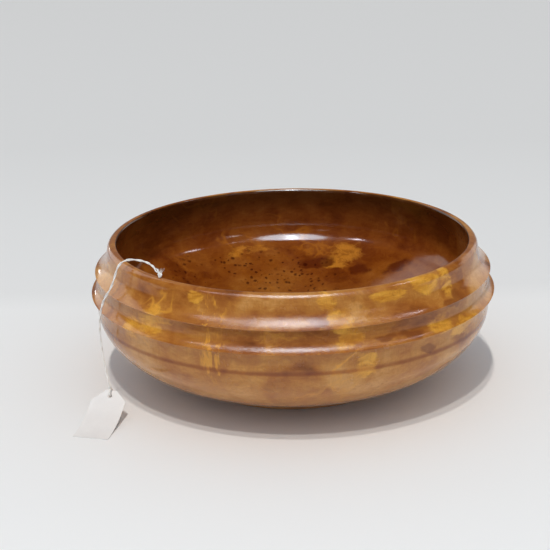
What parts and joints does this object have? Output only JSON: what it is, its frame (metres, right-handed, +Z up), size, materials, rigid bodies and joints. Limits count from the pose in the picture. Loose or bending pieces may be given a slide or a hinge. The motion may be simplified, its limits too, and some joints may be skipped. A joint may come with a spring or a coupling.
{
  "type": "turned wooden bowl",
  "caption": "Wide lathe-turned wooden fruit bowl with an in-curved rim, sharp stepped ridges round its outside, a low foot, and a blank card ticket strung over the rim.",
  "frame": {"origin": "centre of the foot, on the surface that the bowl stands on", "axes": "+Z up along the turning axis; the ticket hangs over the rim on the side of -X and -Y"},
  "size_m": [0.3044, 0.3, 0.1127],
  "materials": {
    "burr_wood": "gloss lacquer over burr wood",
    "felt": "matt pressed felt",
    "card": "matt white card",
    "cotton_string": "plied white cotton"
  },
  "bodies": {
    "bowl": {"bowl_body": "burr_wood", "foot_felt": "felt"},
    "lot_tag": {"tag_card": "card", "tag_string": "cotton_string", "string_knot": "cotton_string", "string_hitch": "cotton_string"}
  },
  "joints": [
    {"name": "tag_lift", "type": "slide", "parent": "bowl", "child": "lot_tag", "axis": [-0.1504, -0.0868, 0.9848], "range_m": [0, 0.12]}
  ]
}
